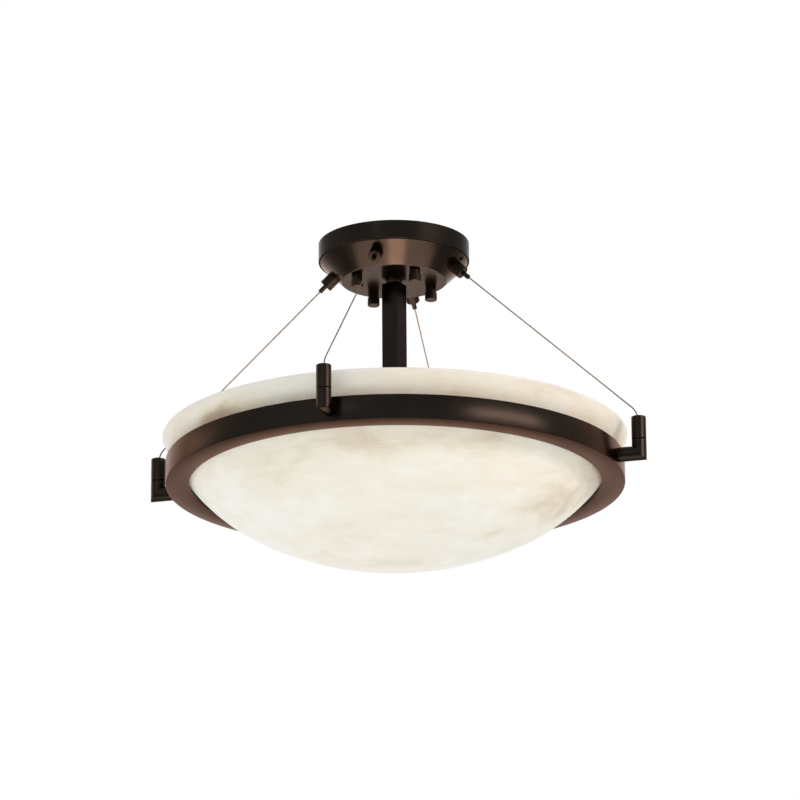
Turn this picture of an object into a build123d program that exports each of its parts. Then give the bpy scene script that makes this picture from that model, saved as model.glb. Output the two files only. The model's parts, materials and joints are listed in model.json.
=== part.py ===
from build123d import *
import os
from math import acos, atan2, cos, degrees, hypot, pi, radians, sin, sqrt, tan

# Semi flush ceiling light: canopy, square stem with three lamps, ring on four cables, bowl.
# Millimetres. The origin is the centre of the ceiling plane and +Z points up, so the light
# hangs below z = 0. The posts and cable grippers stand on the X and Y axes; "front" is -Y.

# ---- Driving dimensions ----
drop = 254.0               # ceiling to the ring's underside
touch = 0.05               # gap that keeps two seated pieces of one body apart
past = 1.0                 # how far a cutting or joining shape runs past a face
loose = 0.3                # gap between seated pieces that can move apart

# Canopy
canopy_radius = 76.2
canopy_height = 39.5
sheet = 1.2                # pressed sheet of the pan's wall and the dome
pan_plate = 1.5
pan_height = 18.8
dome_gap = 0.3             # dome inside the pan's wall
dome_wall = 18.9           # straight upper wall of the dome, from the ceiling down to its cone
dome_flat_radius = 53.0
dome_bend = 1.6            # outer radius of the bends above and below the cone
wire_hole_radius = 14.0
box_screw_spacing = 88.9   # ceiling box screws
box_slot_width = 5.0
box_slot_length = 12.0

# Canopy fixings
stud_circle_radius = 42.7
stud_radius = 2.4
stud_head_radius = 4.0
stud_head_height = 0.8
stud_nut_radius = 4.6
stud_nut_height = 3.2
screw_fit = 0.05           # radial clearance of a screw in its thread
hole_slack = 0.3           # radial clearance of a screw in a plain hole
cap_nut_neck_radius = 5.4
cap_nut_neck_height = 4.6
cap_nut_radius = 6.1
cap_nut_height = 12.7      # whole nut, neck included
cap_nut_bore_depth = 8.0
stud_end_gap = 1.0         # stud to the bottom of the nut's bore
cap_nut_chamfer = 0.6
cap_nut_gap = 0.1          # under the dome
side_screw_angle = -1.0    # degrees round from +X
side_screw_place = 5.2     # down the cone from its upper bend
side_screw_head_radius = 2.2
side_screw_head_height = 1.1
side_screw_shank_radius = 1.4
side_screw_length = 5.0
side_screw_slot_width = 0.6
side_screw_slot_depth = 0.6
earth_screw_angle = 67.5
earth_screw_place = 50.0
earth_screw_radius = 2.0
earth_screw_head_radius = 3.8
earth_screw_head_height = 2.2
earth_screw_slot_width = 0.9
earth_screw_slot_depth = 0.8

# Cable grippers, measured along their own axis
nose_tip_out = 2.1         # the nose's tip stands this far outside the canopy's radius
nose_tip_drop = 3.1        # and this far below the canopy's flat bottom
gripper_radius = 6.8
gripper_length = 18.0
gripper_lip = 1.2
gripper_chamfer = 0.6
chamber_radius = 3.8
chamber_depth = 11.0
nose_radius = 2.35
nose_length = 8.2          # stands out of the body
nose_collar_radius = 3.6
nose_collar_length = 2.4
nose_fit = 0.1
nose_chamfer = 0.4
spring_wire_radius = 0.3
spring_turns = 4
gripper_nut_radius = 9.0
gripper_nut_height = 3.0
gripper_nut_gap = 0.1      # to the inside of the dome

# Cables
cable_radius = 0.7
cable_slack = 0.3          # radial clearance of a cable in a drilled hole
cable_tail = 12.0          # past the gripper, inside the canopy
cable_drop_in = 4.5        # height above the post where the straight cable would meet its axis
cable_bend = 22.0          # radius of the cable's bend into the post
ferrule_radius = 2.4
ferrule_length = 8.0
ferrule_depth = 7.5        # ferrule's top below the post's top

# Posts
post_reach = 20.4          # post's axis outside the ring
post_radius = 7.3
post_height = 44.5
post_foot = 5.0            # post's lowest point above the ring's underside
post_cap_length = 23.1
mouth_radius = 3.0         # flared mouth round the cable in the post's top
mouth_depth = 6.0
post_chamfer = 0.5
cap_seat_gap = 0.3
spigot_radius = 4.4
spigot_length = 6.0
spigot_fit = 0.08
spigot_end_gap = 1.0
post_screw_radius = 2.5
post_screw_reach = 10.0    # into the arm
post_screw_head_radius = 4.4
post_screw_head_height = 3.0
hex_key = 1.5              # radius over the corners of the key's socket
hex_key_depth = 2.0

# Ring, which is rolled to fit round the bowl
ring_height = 24.2
ring_thickness = 3.0
ring_width = 23.4          # whole flange, from its inner edge to the ring's outside
bowl_ring_gap = 2.1        # flange's inner edge to the bowl
ring_edge = 0.4

# Bowl, whose outside is a shallow cap arc and a tighter shoulder arc
bowl_hang = 78.6           # below the ring's underside
bowl_rise = 49.8           # rim above the ring's underside
bowl_cap_radius = 314.0
bowl_cap_turn = 28.0
bowl_shoulder_radius = 190.0
bowl_wall = 6.0
bowl_rim_round = 1.5
gasket_inset = 0.8         # back from the flange's inner edge
gasket_width = 7.0
gasket_height = 8.0

# Stem
stem_width = 18.3
stem_wall = 1.3
stem_corner = 0.5
stem_end_plate = 2.0
stem_turn = -15.0          # degrees, faces turned against the posts
spacer_radius = 8.25
spacer_height = 3.0
pipe_radius = 4.9
pipe_bore_radius = 3.5
pipe_fit = 0.1
pipe_stand = 11.0          # above the dome's floor
pipe_nut_radius = 8.0
pipe_nut_height = 4.0
pipe_end = 2.0             # thread past the lower nut
washer_radius = 11.0
washer_height = 1.2

# Lamp cluster
hub_top_drop = 218.0       # below the ceiling
hub_radius = 23.0
hub_height = 34.0
hub_wall = 3.0
cover_height = 3.0
cover_spigot = 3.0
knob_radius = 7.0
knob_shank_radius = 2.0
knob_shank_length = 9.0
knob_flat = 5.6            # centre of the knob's ball to its seat
lamp_count = 3
first_lamp_angle = 90.0
socket_gap = 6.0           # bare pipe between hub and socket
socket_radius = 17.5
socket_lip = 2.0           # past the end of the lamp's base
socket_back = 8.0
socket_chamfer = 3.0
socket_mouth_radius = 15.6
socket_mouth_depth = 6.0
shell_sheet = 0.4
shell_floor = 0.6
shell_hole_radius = 5.2
shell_end_gap = 1.0         # to the step of the mouth
nipple_end = 1.0           # nipple past the hub's wall
nipple_in_socket = 5.0
base_radius = 13.1
base_length = 25.0
base_sheet = 0.4
base_floor = 2.0
base_fit = 0.1
tip_radius = 4.5
tip_length = 2.4
tip_taper = 1.0
bulb_radius = 30.0
bulb_length = 107.0        # whole lamp, with its tip
bulb_glass = 1.0
neck_in_base = 9.0         # glass neck that stands in the base

# Wires
wire_radius = 1.1
wire_offset = 1.5          # from the pipe's axis
wire_start = 6.0           # below the pipe's lower end
wire_rise = 14.0           # above the pipe's upper end
wire_bend_radius = 11.0
wire_angle = 22.5          # between a post's side and a stud
wire_reach = 20.0
wire_swing = 35.0          # degrees that the end swings round towards the stud
wire_swing_radius = 12.0
wire_end_reach = 18.0
wire_end_fall = 4.0

# ---- Derived places ----
SIDES = {"front": -90.0, "right": 0.0, "back": 90.0, "left": 180.0}
CORNERS = {"front_left": -135.0, "front_right": -45.0, "back_right": 45.0, "back_left": 135.0}

ring_bottom = -drop
flange_top = ring_bottom + ring_thickness
bowl_bottom = ring_bottom - bowl_hang
rim_level = ring_bottom + bowl_rise
cap_turn = radians(bowl_cap_turn)
shoulder_centre = (
    (bowl_cap_radius - bowl_shoulder_radius) * sin(cap_turn),
    bowl_bottom + bowl_cap_radius - (bowl_cap_radius - bowl_shoulder_radius) * cos(cap_turn),
)
seat_reach = sqrt(bowl_shoulder_radius**2 - (shoulder_centre[1] - flange_top) ** 2)
flange_inner_radius = shoulder_centre[0] + seat_reach + bowl_ring_gap
ring_radius = flange_inner_radius + ring_width
band_inner_radius = ring_radius - ring_thickness
dome_radius = canopy_radius - sheet - dome_gap
nose_tip = (canopy_radius + nose_tip_out, -canopy_height - nose_tip_drop)
post_place = ring_radius + post_reach
post_bottom = ring_bottom + post_foot
post_top = post_bottom + post_height
arm_level = post_bottom + post_radius
cap_bottom = post_top - post_cap_length
cable_corner = (post_place, post_top + cable_drop_in)
cable_slope = atan2(nose_tip[1] - cable_corner[1], cable_corner[0] - nose_tip[0])
ferrule_top = post_top - ferrule_depth
ferrule_bottom = ferrule_top - ferrule_length
dome_floor = -canopy_height + sheet
dome_slope = atan2(canopy_height - dome_wall, dome_radius - dome_flat_radius)
gripper_tilt = pi / 2 - dome_slope - cable_slope
gripper_face = (
    nose_tip[0] - nose_length * cos(cable_slope),
    nose_tip[1] + nose_length * sin(cable_slope),
)
dome_reach = (
    (gripper_face[0] - dome_radius) * sin(dome_slope)
    - (gripper_face[1] + dome_wall) * cos(dome_slope)
)
gripper_nut_seat = (
    (dome_reach + sheet) / cos(gripper_tilt)
    + gripper_nut_radius * tan(abs(gripper_tilt))
    + gripper_nut_gap
)
stud_bottom = -canopy_height - cap_nut_gap - cap_nut_bore_depth + stud_end_gap
stem_top = -canopy_height - spacer_height
hub_top = -hub_top_drop
hub_bottom = hub_top - hub_height
lamp_level = hub_top - hub_height / 2
socket_start = hub_radius + socket_gap
shell_start = socket_start + socket_back
tip_start = shell_start + touch + shell_floor + base_fit
base_start = tip_start + tip_length
base_end = base_start + base_length
socket_end = base_end + socket_lip
bulb_end = tip_start + bulb_length
lamp_angles = [first_lamp_angle + 360.0 / lamp_count * index for index in range(lamp_count)]


# ---- Helpers ----
def save(node, solids):
    """Writes one sub-part, which may be a group of separate solids."""
    solids = solids if isinstance(solids, list) else [solids]
    bodies = [body for shape in solids for body in shape.solids()]
    export_step(bodies[0] if len(bodies) == 1 else Compound(children=bodies), f"parts/{node}.step")


def rod(radius, low, high):
    """Cylinder on the Z axis from one level to another."""
    return Pos(0, 0, low) * Cylinder(radius, high - low, align=(Align.CENTER, Align.CENTER, Align.MIN))


def pipe(outer, inner, low, high):
    return rod(outer, low, high) - rod(inner, low - past, high + past)


def turned(*points):
    """Solid of revolution about Z from corner points (radius, level)."""
    return revolve(Plane.XZ * make_face(Polyline(*points, close=True)), Axis.Z)


def round_hex(radius, bore, low, high):
    """Hexagon nut of a given radius over its corners."""
    body = extrude(Pos(0, 0, low) * RegularPolygon(radius, 6), high - low)
    return body - rod(bore, low - past, high + past)


def around(shape, angle):
    return shape.rotate(Axis.Z, angle)


def on_side(shape, place, level=0.0):
    return Pos(place, 0, level) * shape


def along_gripper():
    """Frame on the cable's line over +X: z runs outwards and down, z = 0 is the body's face."""
    direction = (cos(cable_slope), 0, -sin(cable_slope))
    return Plane(origin=(gripper_face[0], 0, gripper_face[1]), x_dir=(0, 1, 0), z_dir=direction)


def along_lamp():
    """Frame of a lamp over +X: z runs outwards from the stem's axis."""
    return Plane(origin=(0, 0, lamp_level), x_dir=(0, 1, 0), z_dir=(1, 0, 0))


def swept(path, radius):
    section = Plane(origin=path @ 0, z_dir=path % 0) * Circle(radius)
    return sweep(section, path=path)


# ---- Canopy ----
def dome_solid(inset, top):
    """The closed shape inside the dome's outer or inner surface: wall, cone and flat bottom."""
    foot = Vector(dome_radius - inset, -dome_wall + inset * tan((pi / 2 - dome_slope) / 2))
    edge = Vector(dome_flat_radius - inset * tan(dome_slope / 2), -canopy_height + inset)
    face = make_face(Polyline((0, edge.Y), edge, foot, (foot.X, top), (0, top), close=True))
    bends = [
        corner
        for corner in face.vertices()
        if min((Vector(corner) - foot).length, (Vector(corner) - edge).length) < touch
    ]
    return revolve(Plane.XZ * fillet(bends, dome_bend - inset), Axis.Z)


def stud_places(shape):
    return [around(on_side(shape, stud_circle_radius), angle) for angle in CORNERS.values()]


def make_ceiling_pan():
    outline = Polyline(
        (0, 0),
        (canopy_radius, 0),
        (canopy_radius, -pan_height),
        (canopy_radius - sheet, -pan_height),
        (canopy_radius - sheet, -pan_plate),
        (0, -pan_plate),
        close=True,
    )
    body = revolve(Plane.XZ * make_face(outline), Axis.Z)
    body = fillet(body.edges().filter_by(GeomType.CIRCLE).group_by(Axis.Z)[0], sheet / 4)
    body -= rod(wire_hole_radius, -pan_plate - past, past)
    slot = SlotOverall(box_slot_length, box_slot_width)
    for side in (-1, 1):
        body -= extrude(Pos(side * box_screw_spacing / 2, 0, past) * slot, -pan_plate - 2 * past)
    seat = rod(stud_radius + screw_fit, -pan_plate - past, past)
    seat += rod(stud_head_radius + screw_fit, -stud_head_height - touch, past)
    for cut in stud_places(seat):
        body -= cut
    earth_hole = on_side(rod(earth_screw_radius + screw_fit, -pan_plate - past, past), earth_screw_place)
    return body - around(earth_hole, earth_screw_angle)


def make_canopy_dome():
    body = dome_solid(0, -pan_plate - touch) - dome_solid(sheet, past)
    body -= rod(pipe_radius + pipe_fit, -canopy_height - past, dome_floor + past)
    stud_hole = rod(stud_radius + hole_slack, -canopy_height - past, dome_floor + past)
    for cut in stud_places(stud_hole):
        body -= cut
    gripper_hole = along_gripper().location * rod(gripper_radius + nose_fit, -gripper_length, past)
    for angle in SIDES.values():
        body -= around(gripper_hole, angle)
    return body - place_side_screw(rod(side_screw_shank_radius + screw_fit, -side_screw_length, past))


def place_side_screw(shape):
    """Puts a shape square to the dome's cone; its z = 0 lies on the surface."""
    surface_point = (
        dome_radius - side_screw_place * cos(dome_slope),
        0,
        -dome_wall - side_screw_place * sin(dome_slope),
    )
    outward = (sin(dome_slope), 0, -cos(dome_slope))
    seat = Plane(origin=surface_point, x_dir=(0, 1, 0), z_dir=outward)
    return around(seat.location * shape, side_screw_angle)


def make_canopy_side_screw():
    head = rod(side_screw_head_radius, touch, side_screw_head_height)
    shank = rod(side_screw_shank_radius, -side_screw_length, side_screw_head_height)
    slot_depth = 2 * side_screw_slot_depth
    slot = Box(side_screw_slot_width, 3 * side_screw_head_radius, slot_depth)
    return place_side_screw(head + shank - Pos(0, 0, side_screw_head_height) * slot)


def make_cap_nut():
    top = -canopy_height - cap_nut_gap
    bottom = -canopy_height - cap_nut_height
    shoulder = top - cap_nut_neck_height
    body = turned(
        (0, top),
        (cap_nut_neck_radius, top),
        (cap_nut_neck_radius, shoulder),
        (cap_nut_radius - cap_nut_chamfer / 2, shoulder),
        (cap_nut_radius, shoulder - cap_nut_chamfer / 2),
        (cap_nut_radius, bottom + cap_nut_chamfer),
        (cap_nut_radius - cap_nut_chamfer, bottom),
        (0, bottom),
    )
    return body - rod(stud_radius + screw_fit, top - cap_nut_bore_depth, top + past)


def make_canopy_stud():
    return rod(stud_radius, stud_bottom, -touch) + rod(stud_head_radius, -stud_head_height, -touch)


def make_stud_nut():
    return round_hex(stud_nut_radius, stud_radius + screw_fit, -pan_plate - stud_nut_height, -pan_plate)


def make_earth_screw():
    body = rod(earth_screw_radius, -pan_plate - past, -touch)
    head_bottom = -pan_plate - earth_screw_head_height
    body += rod(earth_screw_head_radius, head_bottom, -pan_plate)
    slot = Box(earth_screw_slot_width, 3 * earth_screw_head_radius, 2 * earth_screw_slot_depth)
    body -= Pos(0, 0, head_bottom) * slot
    return around(on_side(body, earth_screw_place), earth_screw_angle)


# ---- Cable grippers and cables, all made over +X and turned to their side ----
def make_gripper_body():
    body = rod(gripper_radius, -gripper_length, 0)
    body = chamfer(body.edges().group_by(Axis.Z)[-1], gripper_chamfer)
    body -= rod(chamber_radius, -chamber_depth, -gripper_lip)
    body -= rod(nose_radius + nose_fit, -gripper_lip - past, past)
    return body - rod(cable_radius + cable_slack, -gripper_length - past, -chamber_depth + past)


def make_gripper_plunger():
    body = rod(nose_radius, -gripper_lip - past, nose_length)
    body = chamfer(body.edges().group_by(Axis.Z)[-1], nose_chamfer)
    collar_top = -gripper_lip - touch
    body += rod(nose_collar_radius, collar_top - nose_collar_length, collar_top)
    return body - rod(cable_radius + cable_slack, -chamber_depth, nose_length + past)


def make_gripper_spring():
    low = -chamber_depth + spring_wire_radius + touch
    high = -gripper_lip - touch - nose_collar_length - spring_wire_radius - touch
    mean_radius = (nose_collar_radius + cable_radius + cable_slack) / 2
    coil = Pos(0, 0, low) * Helix((high - low) / spring_turns, high - low, mean_radius)
    section = Plane(origin=coil @ 0, z_dir=coil % 0) * Circle(spring_wire_radius)
    return sweep(section, path=coil, is_frenet=True)


def make_gripper_nut():
    low = -gripper_nut_seat - gripper_nut_height
    return round_hex(gripper_nut_radius, gripper_radius + screw_fit, low, -gripper_nut_seat)


def cable_path():
    """Straight from inside the canopy to the post, then one bend down into it."""
    direction = Vector(cos(cable_slope), 0, -sin(cable_slope))
    tip = Vector(nose_tip[0], 0, nose_tip[1])
    tail = tip - direction * (nose_length + gripper_length + cable_tail)
    corner = Vector(cable_corner[0], 0, cable_corner[1])
    end = Vector(post_place, 0, ferrule_bottom)
    return FilletPolyline(tail, corner, end, radius=[cable_bend])


def make_ferrule():
    return on_side(pipe(ferrule_radius, cable_radius + touch, ferrule_bottom, ferrule_top), post_place)


# ---- Posts, over +X ----
def make_post_cap():
    body = rod(post_radius, cap_bottom, post_top)
    body = chamfer(body.edges().filter_by(GeomType.CIRCLE), post_chamfer)
    body += rod(spigot_radius, cap_bottom - spigot_length, cap_bottom + past)
    body -= rod(cable_radius + cable_slack, ferrule_bottom, post_top + past)
    highest = (Align.CENTER, Align.CENTER, Align.MAX)
    mouth = Cone(cable_radius + cable_slack, mouth_radius, mouth_depth, align=highest)
    body -= Pos(0, 0, post_top) * mouth
    cavity_radius = ferrule_radius + cable_slack
    body -= rod(cavity_radius, cap_bottom - spigot_length - past, ferrule_top + touch)
    return on_side(body, post_place)


def make_post_elbow():
    top = cap_bottom - cap_seat_gap
    upright = on_side(rod(post_radius, post_bottom - post_radius, top), post_place)
    upright = chamfer(upright.edges().group_by(Axis.Z)[-1], post_chamfer)
    arm_end = post_place + 2 * post_radius
    across = Plane(origin=(0, 0, arm_level), x_dir=(0, 1, 0), z_dir=(1, 0, 0)).location
    arm = across * rod(post_radius, band_inner_radius, arm_end)
    mitre = Plane(origin=(post_place, 0, arm_level), x_dir=(0, 1, 0), z_dir=(1, 0, 1))
    size = 4 * post_height
    keep_up = mitre.location * Pos(0, 0, size / 2) * Box(size, size, size)
    keep_in = mitre.location * Pos(0, 0, -size / 2) * Box(size, size, size)
    body = (upright & keep_up) + (arm & keep_in)
    body -= rod(ring_radius + touch, arm_level - size, arm_level + size)
    bore_bottom = cap_bottom - spigot_length - spigot_end_gap
    body -= on_side(rod(spigot_radius + spigot_fit, bore_bottom, top + past), post_place)
    hole_end = ring_radius + post_screw_reach + past
    return body - across * rod(post_screw_radius + screw_fit, band_inner_radius, hole_end)


def make_post_screw():
    across = Plane(origin=(0, 0, arm_level), x_dir=(0, 1, 0), z_dir=(1, 0, 0)).location
    seat = sqrt(band_inner_radius**2 - post_screw_head_radius**2) - touch
    body = rod(post_screw_head_radius, seat - post_screw_head_height, seat)
    body += rod(post_screw_radius, seat - past, ring_radius + post_screw_reach)
    key_start = Pos(0, 0, seat - post_screw_head_height - past)
    key = extrude(key_start * RegularPolygon(hex_key, 6), hex_key_depth + past)
    return across * (body - key)


# ---- Ring and bowl ----
def make_ring_hoop():
    outline = Polyline(
        (flange_inner_radius, ring_bottom),
        (ring_radius, ring_bottom),
        (ring_radius, ring_bottom + ring_height),
        (band_inner_radius, ring_bottom + ring_height),
        (band_inner_radius, flange_top),
        (flange_inner_radius, flange_top),
        close=True,
    )
    section = make_face(outline)
    section = fillet(section.vertices(), ring_edge)
    body = revolve(Plane.XZ * section, Axis.Z)
    across = Plane(origin=(0, 0, arm_level), x_dir=(0, 1, 0), z_dir=(1, 0, 0)).location
    hole = across * rod(post_screw_radius + hole_slack, band_inner_radius - past, ring_radius + past)
    for angle in SIDES.values():
        body -= around(hole, angle)
    return body


def bowl_profile(inset):
    """Half section of the bowl's shape, drawn inset from its outer face, closed on the axis."""
    rim_turn = degrees(acos((shoulder_centre[1] - rim_level) / (bowl_shoulder_radius - inset)))
    cap = JernArc((0, bowl_bottom + inset), (1, 0), bowl_cap_radius - inset, bowl_cap_turn)
    shoulder = JernArc(cap @ 1, cap % 1, bowl_shoulder_radius - inset, rim_turn - bowl_cap_turn)
    return cap, shoulder


def make_bowl():
    cap, shoulder = bowl_profile(0)
    inner_cap, inner_shoulder = bowl_profile(bowl_wall)
    edge = Line(shoulder @ 1, inner_shoulder @ 1)
    axis_line = Line(cap @ 0, inner_cap @ 0)
    section = make_face(cap + shoulder + edge + inner_shoulder + inner_cap + axis_line)
    rim_corners = section.vertices().group_by(Axis.Y)[-1]
    section = fillet(rim_corners, bowl_rim_round)
    return revolve(Plane.XZ * section, Axis.Z)


def make_bowl_gasket():
    """Rubber ring on the flange, its top cut to the bowl's outside."""
    cap, shoulder = bowl_profile(-loose)
    cover = Polyline(shoulder @ 1, (0, rim_level), cap @ 0)
    bowl_space = revolve(Plane.XZ * make_face(cap + shoulder + cover), Axis.Z)
    inner_radius = flange_inner_radius + gasket_inset
    level = flange_top + touch
    return pipe(inner_radius + gasket_width, inner_radius, level, level + gasket_height) - bowl_space


# ---- Stem ----
def make_stem_tube():
    height = stem_top - touch - hub_top
    outside = RectangleRounded(stem_width, stem_width, stem_corner)
    body = extrude(Pos(0, 0, hub_top) * outside, height)
    hollow_width = stem_width - 2 * stem_wall
    hollow = Box(hollow_width, hollow_width, height - 2 * stem_end_plate)
    body -= Pos(0, 0, hub_top + height / 2) * hollow
    body -= rod(pipe_radius + pipe_fit, hub_top - past, stem_top + past)
    return around(body, stem_turn)


def make_stem_spacer():
    return pipe(spacer_radius, pipe_radius + pipe_fit, stem_top, -canopy_height)


pipe_top = dome_floor + pipe_stand
pipe_bottom = hub_top - hub_wall - pipe_nut_height - pipe_end


def make_stem_pipe():
    return pipe(pipe_radius, pipe_bore_radius, pipe_bottom, pipe_top)


def make_stem_washer():
    return pipe(washer_radius, pipe_radius + pipe_fit, dome_floor, dome_floor + washer_height)


def make_pipe_nuts():
    upper = dome_floor + washer_height
    lower = hub_top - hub_wall
    bore = pipe_radius + screw_fit
    return [
        round_hex(pipe_nut_radius, bore, upper, upper + pipe_nut_height),
        round_hex(pipe_nut_radius, bore, lower - pipe_nut_height, lower),
    ]


def make_lamp_wires():
    """Two insulated wires up the pipe, each bent over to its side above it."""
    out = Vector(1, 0, 0).rotate(Axis.Z, wire_angle)
    start = Vector(wire_offset, 0, pipe_bottom - wire_start)
    bend = Vector(wire_offset, 0, pipe_top + wire_rise)
    turn = bend + out * wire_reach
    end = turn + out.rotate(Axis.Z, wire_swing) * wire_end_reach - Vector(0, 0, wire_end_fall)
    path = FilletPolyline(start, bend, turn, end, radius=[wire_bend_radius, wire_swing_radius])
    wire = swept(path, wire_radius)
    share = wire.volume / (pi * wire_radius**2 * path.length)
    print(f"lamp wire: length {path.length:.1f}, volume share {share:.4f}")
    return [wire, around(wire, 180)]


# ---- Lamp cluster, one arm over +X ----
def make_lamp_hub():
    body = rod(hub_radius, hub_bottom, hub_top)
    body = chamfer(body.edges().group_by(Axis.Z)[-1], hub_wall / 2)
    body -= rod(hub_radius - hub_wall, hub_bottom - past, hub_top - hub_wall)
    body -= rod(pipe_radius + screw_fit, hub_top - hub_wall - past, hub_top + past)
    hole = along_lamp().location * rod(pipe_radius + screw_fit, hub_radius / 2, hub_radius + past)
    for angle in lamp_angles:
        body -= around(hole, angle)
    return body


def make_hub_cover():
    body = rod(hub_radius, hub_bottom - cover_height, hub_bottom - touch)
    body = chamfer(body.edges().group_by(Axis.Z)[0], cover_height / 3)
    body += rod(hub_radius - hub_wall - screw_fit, hub_bottom - past, hub_bottom + cover_spigot)
    hole_bottom = hub_bottom - cover_height - past
    return body - rod(knob_shank_radius + screw_fit, hole_bottom, hub_bottom + cover_spigot + past)


def make_hub_knob():
    seat = hub_bottom - cover_height - touch
    centre = seat - knob_flat
    ball = Pos(0, 0, centre) * Sphere(knob_radius)
    body = ball - Pos(0, 0, seat + knob_radius) * Box(4 * knob_radius, 4 * knob_radius, 2 * knob_radius)
    return body + rod(knob_shank_radius, centre, seat + knob_shank_length)


def lamp_part(shape, angle):
    return around(along_lamp().location * shape, angle)


def make_socket_nipple():
    inner_end = hub_radius - hub_wall - nipple_end
    return pipe(pipe_radius, pipe_bore_radius, inner_end, socket_start + nipple_in_socket)


def make_socket():
    body = rod(socket_radius, socket_start, socket_end)
    body = chamfer(body.edges().group_by(Axis.Z)[0], socket_chamfer)
    shell_outer = base_radius + base_fit + shell_sheet
    body -= rod(shell_outer + base_fit, shell_start, socket_end + past)
    body -= rod(socket_mouth_radius, socket_end - socket_mouth_depth, socket_end + past)
    return body - rod(pipe_radius + screw_fit, socket_start - past, shell_start + past)


def make_screw_shell():
    outer = base_radius + base_fit + shell_sheet
    body = rod(outer, shell_start + touch, socket_end - socket_mouth_depth - shell_end_gap)
    body -= rod(outer - shell_sheet, shell_start + touch + shell_floor, socket_end)
    return body - rod(shell_hole_radius, shell_start - past, shell_start + past)


def make_lamp_base():
    body = rod(base_radius, base_start, base_end)
    body -= rod(base_radius - base_sheet, base_start + base_floor, base_end + past)
    lowest = (Align.CENTER, Align.CENTER, Align.MIN)
    return body + Pos(0, 0, tip_start) * Cone(tip_radius - tip_taper, tip_radius, tip_length, align=lowest)


def glass_solid(inset):
    """Round lamp glass: a neck, a cone that meets the ball at a tangent, and the ball."""
    neck = base_radius - base_sheet - touch - inset
    ball = bulb_radius - inset
    ball_centre = bulb_end - bulb_radius
    reach = hypot(ball_centre - base_end, neck)
    lift = atan2(ball, sqrt(reach**2 - ball**2)) - atan2(neck, ball_centre - base_end)
    run = sqrt(reach**2 - ball**2)
    meet = (neck + run * sin(lift), base_end + run * cos(lift))
    low = base_end - neck_in_base - (past if inset else 0)
    side = Polyline((0, low), (neck, low), (neck, base_end), meet)
    dome = TangentArc(meet, (0, ball_centre + ball), tangent=(sin(lift), cos(lift)))
    middle = Line((0, ball_centre + ball), (0, low))
    return revolve(Plane.XZ * make_face(side + dome + middle), Axis.Z)


def make_lamp_glass():
    return glass_solid(0) - glass_solid(bulb_glass)


# ---- Write every sub-part ----
os.makedirs("parts", exist_ok=True)

save("ceiling_pan", make_ceiling_pan())
save("canopy_dome", make_canopy_dome())
save("canopy_side_screw", make_canopy_side_screw())
save("canopy_studs", stud_places(make_canopy_stud()))
save("stud_nuts", stud_places(make_stud_nut()))
save("earth_screw", make_earth_screw())
for corner_name, corner_angle in CORNERS.items():
    save(f"cap_nut_{corner_name}", around(on_side(make_cap_nut(), stud_circle_radius), corner_angle))

gripper_place = along_gripper().location
cable_line = cable_path()
cable = swept(cable_line, cable_radius)
cable_share = cable.volume / (pi * cable_radius**2 * cable_line.length)
print(f"cable: length {cable_line.length:.1f}, volume share {cable_share:.4f}")
for side_name, side_angle in SIDES.items():
    save(f"gripper_body_{side_name}", around(gripper_place * make_gripper_body(), side_angle))
    save(f"gripper_plunger_{side_name}", around(gripper_place * make_gripper_plunger(), side_angle))
    save(f"gripper_spring_{side_name}", around(gripper_place * make_gripper_spring(), side_angle))
    save(f"cable_{side_name}", around(cable, side_angle))
    save(f"post_cap_{side_name}", around(make_post_cap(), side_angle))
    save(f"post_elbow_{side_name}", around(make_post_elbow(), side_angle))
save("gripper_nuts", [around(gripper_place * make_gripper_nut(), angle) for angle in SIDES.values()])
save("cable_ferrules", [around(make_ferrule(), angle) for angle in SIDES.values()])
save("post_screws", [around(make_post_screw(), angle) for angle in SIDES.values()])

save("ring_hoop", make_ring_hoop())
save("bowl", make_bowl())
save("bowl_gasket", make_bowl_gasket())

save("stem_tube", make_stem_tube())
save("stem_spacer", make_stem_spacer())
save("stem_pipe", make_stem_pipe())
save("stem_washer", make_stem_washer())
save("pipe_nuts", make_pipe_nuts())
save("lamp_wires", make_lamp_wires())

save("lamp_hub", make_lamp_hub())
save("hub_cover", make_hub_cover())
save("hub_knob", make_hub_knob())
save("socket_nipples", [lamp_part(make_socket_nipple(), angle) for angle in lamp_angles])
save("screw_shells", [lamp_part(make_screw_shell(), angle) for angle in lamp_angles])
for number, lamp_angle in enumerate(lamp_angles, start=1):
    save(f"socket_{number}", lamp_part(make_socket(), lamp_angle))
    save(f"lamp_base_{number}", lamp_part(make_lamp_base(), lamp_angle))
    save(f"lamp_glass_{number}", lamp_part(make_lamp_glass(), lamp_angle))

print(f"cable slope {degrees(cable_slope):.2f} degrees, dome floor {dome_floor:.2f}")
print(f"ring radius {ring_radius:.2f}, flange inner radius {flange_inner_radius:.2f}")
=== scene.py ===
# %% [markdown]
# # A semi flush ceiling light with a cloudy bowl
#
# The light hangs from a round canopy. A square stem carries three lamps, and four steel cables
# carry a flat ring in which a cloudy cream bowl lies. The construction is loaded as a fixed frame
# of parts in their real places. This lesson dresses it: each finish is a small node tree, and the
# pieces whose form matters most are made again here with finer surfaces.

import json
from math import acos, atan2, cos, degrees, hypot, pi, radians, sin, sqrt

import bmesh
import bpy
from mathutils import Matrix, Vector


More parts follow.
